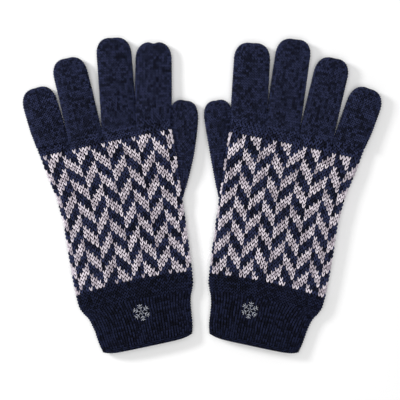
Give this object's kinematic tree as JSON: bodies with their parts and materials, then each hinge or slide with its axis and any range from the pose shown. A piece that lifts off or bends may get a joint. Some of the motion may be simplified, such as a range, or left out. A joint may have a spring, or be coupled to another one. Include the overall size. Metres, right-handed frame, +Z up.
{
  "type": "knitted gloves",
  "caption": "Pair of knitted winter gloves lying backs up, with rib cuffs and a zigzag pattern round the hand.",
  "frame": {"origin": "middle of the pair, on the surface that the gloves lie on", "axes": "+X across the pair towards the right-hand glove, +Y towards the fingertips, +Z up out of the backs of the hands"},
  "size_m": [0.2678, 0.2384, 0.0139],
  "materials": {
    "navy_yarn": "matt",
    "pattern_yarn": "matt",
    "cuff_yarn": "matt",
    "elastic_thread": "matt",
    "motif_thread": "satin"
  },
  "bodies": {
    "left_hand": {"left_jacquard_hand": "pattern_yarn", "left_knuckle_band": "navy_yarn", "left_wrist_band": "navy_yarn", "left_index_crotch_join": "navy_yarn", "left_middle_crotch_join": "navy_yarn", "left_ring_crotch_join": "navy_yarn", "left_thumb_gusset": "navy_yarn"},
    "left_cuff": {"left_rib_cuff": "cuff_yarn", "left_cuff_welt": "cuff_yarn", "left_cuff_elastic_1": "elastic_thread", "left_cuff_elastic_2": "elastic_thread", "left_cuff_motif": "motif_thread"},
    "left_index_first": {"left_index_base": "navy_yarn"},
    "left_index_second": {"left_index_end": "navy_yarn", "left_index_tip_closure": "navy_yarn"},
    "left_middle_first": {"left_middle_base": "navy_yarn"},
    "left_middle_second": {"left_middle_end": "navy_yarn", "left_middle_tip_closure": "navy_yarn"},
    "left_ring_first": {"left_ring_base": "navy_yarn"},
    "left_ring_second": {"left_ring_end": "navy_yarn", "left_ring_tip_closure": "navy_yarn"},
    "left_little_first": {"left_little_base": "navy_yarn"},
    "left_little_second": {"left_little_end": "navy_yarn", "left_little_tip_closure": "navy_yarn"},
    "left_thumb_first": {"left_thumb_base": "navy_yarn"},
    "left_thumb_second": {"left_thumb_end": "navy_yarn", "left_thumb_tip_closure": "navy_yarn"},
    "right_hand": {"right_jacquard_hand": "pattern_yarn", "right_knuckle_band": "navy_yarn", "right_wrist_band": "navy_yarn", "right_index_crotch_join": "navy_yarn", "right_middle_crotch_join": "navy_yarn", "right_ring_crotch_join": "navy_yarn", "right_thumb_gusset": "navy_yarn"},
    "right_cuff": {"right_rib_cuff": "cuff_yarn", "right_cuff_welt": "cuff_yarn", "right_cuff_elastic_1": "elastic_thread", "right_cuff_elastic_2": "elastic_thread", "right_cuff_motif": "motif_thread"},
    "right_index_first": {"right_index_base": "navy_yarn"},
    "right_index_second": {"right_index_end": "navy_yarn", "right_index_tip_closure": "navy_yarn"},
    "right_middle_first": {"right_middle_base": "navy_yarn"},
    "right_middle_second": {"right_middle_end": "navy_yarn", "right_middle_tip_closure": "navy_yarn"},
    "right_ring_first": {"right_ring_base": "navy_yarn"},
    "right_ring_second": {"right_ring_end": "navy_yarn", "right_ring_tip_closure": "navy_yarn"},
    "right_little_first": {"right_little_base": "navy_yarn"},
    "right_little_second": {"right_little_end": "navy_yarn", "right_little_tip_closure": "navy_yarn"},
    "right_thumb_first": {"right_thumb_base": "navy_yarn"},
    "right_thumb_second": {"right_thumb_end": "navy_yarn", "right_thumb_tip_closure": "navy_yarn"}
  },
  "joints": [
    {"name": "left_cuff_turn_up", "type": "hinge", "parent": "left_hand", "child": "left_cuff", "pos_m": [-0.04812, -0.07628, 0.012], "axis": [-0.9781, -0.2079, 0], "range_deg": [0, 90]},
    {"name": "left_index_knuckle", "type": "hinge", "parent": "left_hand", "child": "left_index_first", "pos_m": [-0.03665, 0.05497, 0.013], "axis": [0.9781, 0.2079, 0], "range_deg": [0, 90]},
    {"name": "left_index_middle_joint", "type": "hinge", "parent": "left_index_first", "child": "left_index_second", "pos_m": [-0.03692, 0.08558, 0.013], "axis": [0.9781, 0.2079, 0], "range_deg": [0, 90]},
    {"name": "left_middle_knuckle", "type": "hinge", "parent": "left_hand", "child": "left_middle_first", "pos_m": [-0.06258, 0.04946, 0.013], "axis": [0.9781, 0.2079, 0], "range_deg": [0, 90]},
    {"name": "left_middle_middle_joint", "type": "hinge", "parent": "left_middle_first", "child": "left_middle_second", "pos_m": [-0.06432, 0.08283, 0.013], "axis": [0.9781, 0.2079, 0], "range_deg": [0, 90]},
    {"name": "left_ring_knuckle", "type": "hinge", "parent": "left_hand", "child": "left_ring_first", "pos_m": [-0.08776, 0.04411, 0.013], "axis": [0.9781, 0.2079, 0], "range_deg": [0, 90]},
    {"name": "left_ring_middle_joint", "type": "hinge", "parent": "left_ring_first", "child": "left_ring_second", "pos_m": [-0.09426, 0.0734, 0.013], "axis": [0.9781, 0.2079, 0], "range_deg": [0, 90]},
    {"name": "left_little_knuckle", "type": "hinge", "parent": "left_hand", "child": "left_little_first", "pos_m": [-0.11271, 0.0388, 0.013], "axis": [0.9781, 0.2079, 0], "range_deg": [0, 90]},
    {"name": "left_little_middle_joint", "type": "hinge", "parent": "left_little_first", "child": "left_little_second", "pos_m": [-0.11897, 0.05996, 0.013], "axis": [0.9781, 0.2079, 0], "range_deg": [0, 90]},
    {"name": "left_thumb_root_joint", "type": "hinge", "parent": "left_hand", "child": "left_thumb_first", "pos_m": [-0.01727, 0.01537, 0.011], "axis": [0.9851, -0.1719, 0], "range_deg": [0, 90]},
    {"name": "left_thumb_tip_joint", "type": "hinge", "parent": "left_thumb_first", "child": "left_thumb_second", "pos_m": [-0.01465, 0.04334, 0.011], "axis": [0.9851, -0.1719, 0], "range_deg": [0, 60]},
    {"name": "right_cuff_turn_up", "type": "hinge", "parent": "right_hand", "child": "right_cuff", "pos_m": [0.04589, -0.07628, 0.012], "axis": [-0.9781, 0.2079, 0], "range_deg": [0, 90]},
    {"name": "right_index_knuckle", "type": "hinge", "parent": "right_hand", "child": "right_index_first", "pos_m": [0.03443, 0.05497, 0.013], "axis": [0.9781, -0.2079, 0], "range_deg": [0, 90]},
    {"name": "right_index_middle_joint", "type": "hinge", "parent": "right_index_first", "child": "right_index_second", "pos_m": [0.03654, 0.08519, 0.013], "axis": [0.9781, -0.2079, 0], "range_deg": [0, 90]},
    {"name": "right_middle_knuckle", "type": "hinge", "parent": "right_hand", "child": "right_middle_first", "pos_m": [0.06035, 0.04946, 0.013], "axis": [0.9781, -0.2079, 0], "range_deg": [0, 90]},
    {"name": "right_middle_middle_joint", "type": "hinge", "parent": "right_middle_first", "child": "right_middle_second", "pos_m": [0.06439, 0.08234, 0.013], "axis": [0.9781, -0.2079, 0], "range_deg": [0, 90]},
    {"name": "right_ring_knuckle", "type": "hinge", "parent": "right_hand", "child": "right_ring_first", "pos_m": [0.08554, 0.04411, 0.013], "axis": [0.9781, -0.2079, 0], "range_deg": [0, 90]},
    {"name": "right_ring_middle_joint", "type": "hinge", "parent": "right_ring_first", "child": "right_ring_second", "pos_m": [0.09203, 0.0734, 0.013], "axis": [0.9781, -0.2079, 0], "range_deg": [0, 90]},
    {"name": "right_little_knuckle", "type": "hinge", "parent": "right_hand", "child": "right_little_first", "pos_m": [0.11048, 0.0388, 0.013], "axis": [0.9781, -0.2079, 0], "range_deg": [0, 90]},
    {"name": "right_little_middle_joint", "type": "hinge", "parent": "right_little_first", "child": "right_little_second", "pos_m": [0.11808, 0.05968, 0.013], "axis": [0.9781, -0.2079, 0], "range_deg": [0, 90]},
    {"name": "right_thumb_root_joint", "type": "hinge", "parent": "right_hand", "child": "right_thumb_first", "pos_m": [0.01504, 0.01537, 0.011], "axis": [0.9851, 0.1719, 0], "range_deg": [0, 90]},
    {"name": "right_thumb_tip_joint", "type": "hinge", "parent": "right_thumb_first", "child": "right_thumb_second", "pos_m": [0.01242, 0.04334, 0.011], "axis": [0.9851, 0.1719, 0], "range_deg": [0, 60]},
    {"name": "gloves_apart", "type": "slide", "parent": "left_hand", "child": "right_hand", "axis": [1, 0, 0], "range_m": [0, 0.06]}
  ]
}
